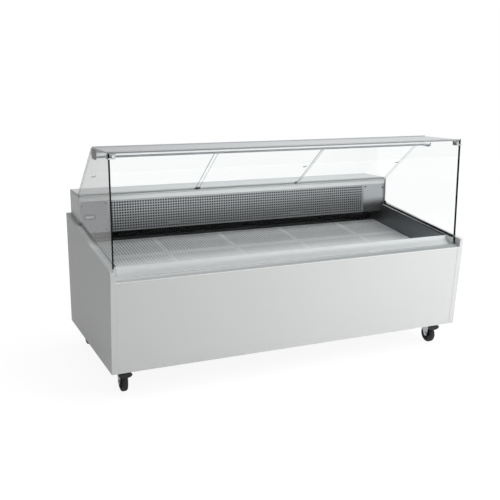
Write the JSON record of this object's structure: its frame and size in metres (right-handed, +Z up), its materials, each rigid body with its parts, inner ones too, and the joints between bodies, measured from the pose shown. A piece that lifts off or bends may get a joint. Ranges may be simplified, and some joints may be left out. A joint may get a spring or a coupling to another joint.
{
  "type": "fish display case",
  "caption": "Refrigerated fish display counter on casters with upright front glass, top shelf and lamp, perforated display floor, air grille and leaning rear sliding doors.",
  "frame": {"origin": "on the floor, under the middle of the case", "axes": "+X to the right as the customer sees it, -Y towards the customer, +Z up"},
  "size_m": [2, 1, 1.19],
  "materials": {
    "painted_panel": "satin light grey paint",
    "stainless": "brushed stainless steel",
    "galvanised": "bare galvanised steel",
    "zinc": "bright zinc plate",
    "clear_glass": "clear toughened glass",
    "clear_acrylic": "clear acrylic",
    "anodised": "satin anodised",
    "fins": "bare fin stock",
    "lamp": "opal white",
    "dark_plastic": "matt dark grey",
    "black_plastic": "matt black",
    "white_plastic": "satin white",
    "foam": "rigid foam",
    "tyre": "matt black",
    "black_paint": "satin black",
    "copper": "bare copper"
  },
  "bodies": {
    "cabinet": {"base_frame": "galvanised", "left_end_panel": "painted_panel", "right_end_panel": "painted_panel", "front_panel": "painted_panel", "rear_panel": "painted_panel", "rear_louvre": "painted_panel", "front_sill": "stainless", "display_tub": "stainless", "tub_insulation": "foam", "glass_channels": "stainless", "plate_rails": "stainless", "drain_pipe": "dark_plastic", "evaporator_housing": "stainless", "rear_worktop": "stainless", "air_grille": "stainless", "grille_end_plates": "stainless", "grille_screws": "zinc", "temperature_display": "dark_plastic", "evaporator_coil": "fins", "fan_plate": "galvanised", "evaporator_fan_motors": "black_plastic", "front_glass": "clear_glass", "left_side_glass": "clear_glass", "right_side_glass": "clear_glass", "top_shelf": "stainless", "glass_clamps": "zinc", "lamp_holder": "dark_plastic", "lamp_tube": "lamp", "door_tracks": "anodised", "condenser_coil": "fins", "condenser_shroud": "galvanised", "condenser_fan_motor": "black_paint", "compressor": "black_paint", "refrigerant_lines": "copper", "control_box": "white_plastic", "power_gland": "black_plastic", "caster_plates": "zinc"},
    "rear_door_left": {"rear_door_left": "clear_acrylic"},
    "rear_door_middle": {"rear_door_middle": "clear_acrylic"},
    "rear_door_right": {"rear_door_right": "clear_acrylic"},
    "display_plate_1": {"display_plate_1": "stainless"},
    "display_plate_2": {"display_plate_2": "stainless"},
    "display_plate_3": {"display_plate_3": "stainless"},
    "display_plate_4": {"display_plate_4": "stainless"},
    "display_plate_5": {"display_plate_5": "stainless"},
    "evaporator_fan_left": {"evaporator_fan_left": "black_plastic"},
    "evaporator_fan_right": {"evaporator_fan_right": "black_plastic"},
    "condenser_fan": {"condenser_fan": "black_plastic"},
    "main_switch": {"main_switch": "black_plastic"},
    "lamp_switch": {"lamp_switch": "black_plastic"},
    "caster_fork_front_left": {"caster_fork_front_left": "zinc"},
    "caster_wheel_front_left": {"caster_wheel_front_left": "tyre"},
    "brake_pedal_front_left": {"brake_pedal_front_left": "black_plastic"},
    "caster_fork_front_right": {"caster_fork_front_right": "zinc"},
    "caster_wheel_front_right": {"caster_wheel_front_right": "tyre"},
    "brake_pedal_front_right": {"brake_pedal_front_right": "black_plastic"},
    "caster_fork_rear_left": {"caster_fork_rear_left": "zinc"},
    "caster_wheel_rear_left": {"caster_wheel_rear_left": "tyre"},
    "caster_fork_rear_right": {"caster_fork_rear_right": "zinc"},
    "caster_wheel_rear_right": {"caster_wheel_rear_right": "tyre"}
  },
  "joints": [
    {"name": "rear_door_left_slide", "type": "slide", "parent": "cabinet", "child": "rear_door_left", "axis": [1, 0, 0], "range_m": [0, 1.2544]},
    {"name": "rear_door_middle_slide", "type": "slide", "parent": "cabinet", "child": "rear_door_middle", "axis": [1, 0, 0], "range_m": [-0.6552, 0.6172]},
    {"name": "rear_door_right_slide", "type": "slide", "parent": "cabinet", "child": "rear_door_right", "axis": [1, 0, 0], "range_m": [-1.2984, 0]},
    {"name": "display_plate_1_lift", "type": "slide", "parent": "cabinet", "child": "display_plate_1", "axis": [0, 0, 1], "range_m": [0, 0.05]},
    {"name": "display_plate_2_lift", "type": "slide", "parent": "cabinet", "child": "display_plate_2", "axis": [0, 0, 1], "range_m": [0, 0.05]},
    {"name": "display_plate_3_lift", "type": "slide", "parent": "cabinet", "child": "display_plate_3", "axis": [0, 0, 1], "range_m": [0, 0.05]},
    {"name": "display_plate_4_lift", "type": "slide", "parent": "cabinet", "child": "display_plate_4", "axis": [0, 0, 1], "range_m": [0, 0.05]},
    {"name": "display_plate_5_lift", "type": "slide", "parent": "cabinet", "child": "display_plate_5", "axis": [0, 0, 1], "range_m": [0, 0.05]},
    {"name": "evaporator_fan_left_spin", "type": "hinge", "parent": "cabinet", "child": "evaporator_fan_left", "pos_m": [-0.4, 0.396, 0.77], "axis": [0, 1, 0], "continuous": true},
    {"name": "evaporator_fan_right_spin", "type": "hinge", "parent": "cabinet", "child": "evaporator_fan_right", "pos_m": [0.4, 0.396, 0.77], "axis": [0, 1, 0], "continuous": true},
    {"name": "condenser_fan_spin", "type": "hinge", "parent": "cabinet", "child": "condenser_fan", "pos_m": [-0.13, 0.366, 0.3], "axis": [0, 1, 0], "continuous": true},
    {"name": "main_switch_rock", "type": "hinge", "parent": "cabinet", "child": "main_switch", "pos_m": [0.736, 0.494, 0.37], "axis": [1, 0, 0], "range_deg": [0, 16]},
    {"name": "lamp_switch_rock", "type": "hinge", "parent": "cabinet", "child": "lamp_switch", "pos_m": [0.702, 0.494, 0.37], "axis": [1, 0, 0], "range_deg": [0, 16]},
    {"name": "caster_swivel_front_left", "type": "hinge", "parent": "cabinet", "child": "caster_fork_front_left", "pos_m": [-0.918, -0.297, 0.12], "axis": [0, 0, 1], "continuous": true},
    {"name": "caster_roll_front_left", "type": "hinge", "parent": "caster_fork_front_left", "child": "caster_wheel_front_left", "pos_m": [-0.918, -0.333, 0.05], "axis": [1, 0, 0], "continuous": true},
    {"name": "brake_pedal_front_left_press", "type": "hinge", "parent": "caster_fork_front_left", "child": "brake_pedal_front_left", "pos_m": [-0.918, -0.359, 0.1187], "axis": [1, 0, 0], "range_deg": [0, 14]},
    {"name": "caster_swivel_front_right", "type": "hinge", "parent": "cabinet", "child": "caster_fork_front_right", "pos_m": [0.918, -0.297, 0.12], "axis": [0, 0, 1], "continuous": true},
    {"name": "caster_roll_front_right", "type": "hinge", "parent": "caster_fork_front_right", "child": "caster_wheel_front_right", "pos_m": [0.918, -0.333, 0.05], "axis": [1, 0, 0], "continuous": true},
    {"name": "brake_pedal_front_right_press", "type": "hinge", "parent": "caster_fork_front_right", "child": "brake_pedal_front_right", "pos_m": [0.918, -0.359, 0.1187], "axis": [1, 0, 0], "range_deg": [0, 14]},
    {"name": "caster_swivel_rear_left", "type": "hinge", "parent": "cabinet", "child": "caster_fork_rear_left", "pos_m": [-0.918, 0.402, 0.12], "axis": [0, 0, 1], "continuous": true},
    {"name": "caster_roll_rear_left", "type": "hinge", "parent": "caster_fork_rear_left", "child": "caster_wheel_rear_left", "pos_m": [-0.918, 0.438, 0.05], "axis": [1, 0, 0], "continuous": true},
    {"name": "caster_swivel_rear_right", "type": "hinge", "parent": "cabinet", "child": "caster_fork_rear_right", "pos_m": [0.918, 0.402, 0.12], "axis": [0, 0, 1], "continuous": true},
    {"name": "caster_roll_rear_right", "type": "hinge", "parent": "caster_fork_rear_right", "child": "caster_wheel_rear_right", "pos_m": [0.918, 0.438, 0.05], "axis": [1, 0, 0], "continuous": true}
  ]
}
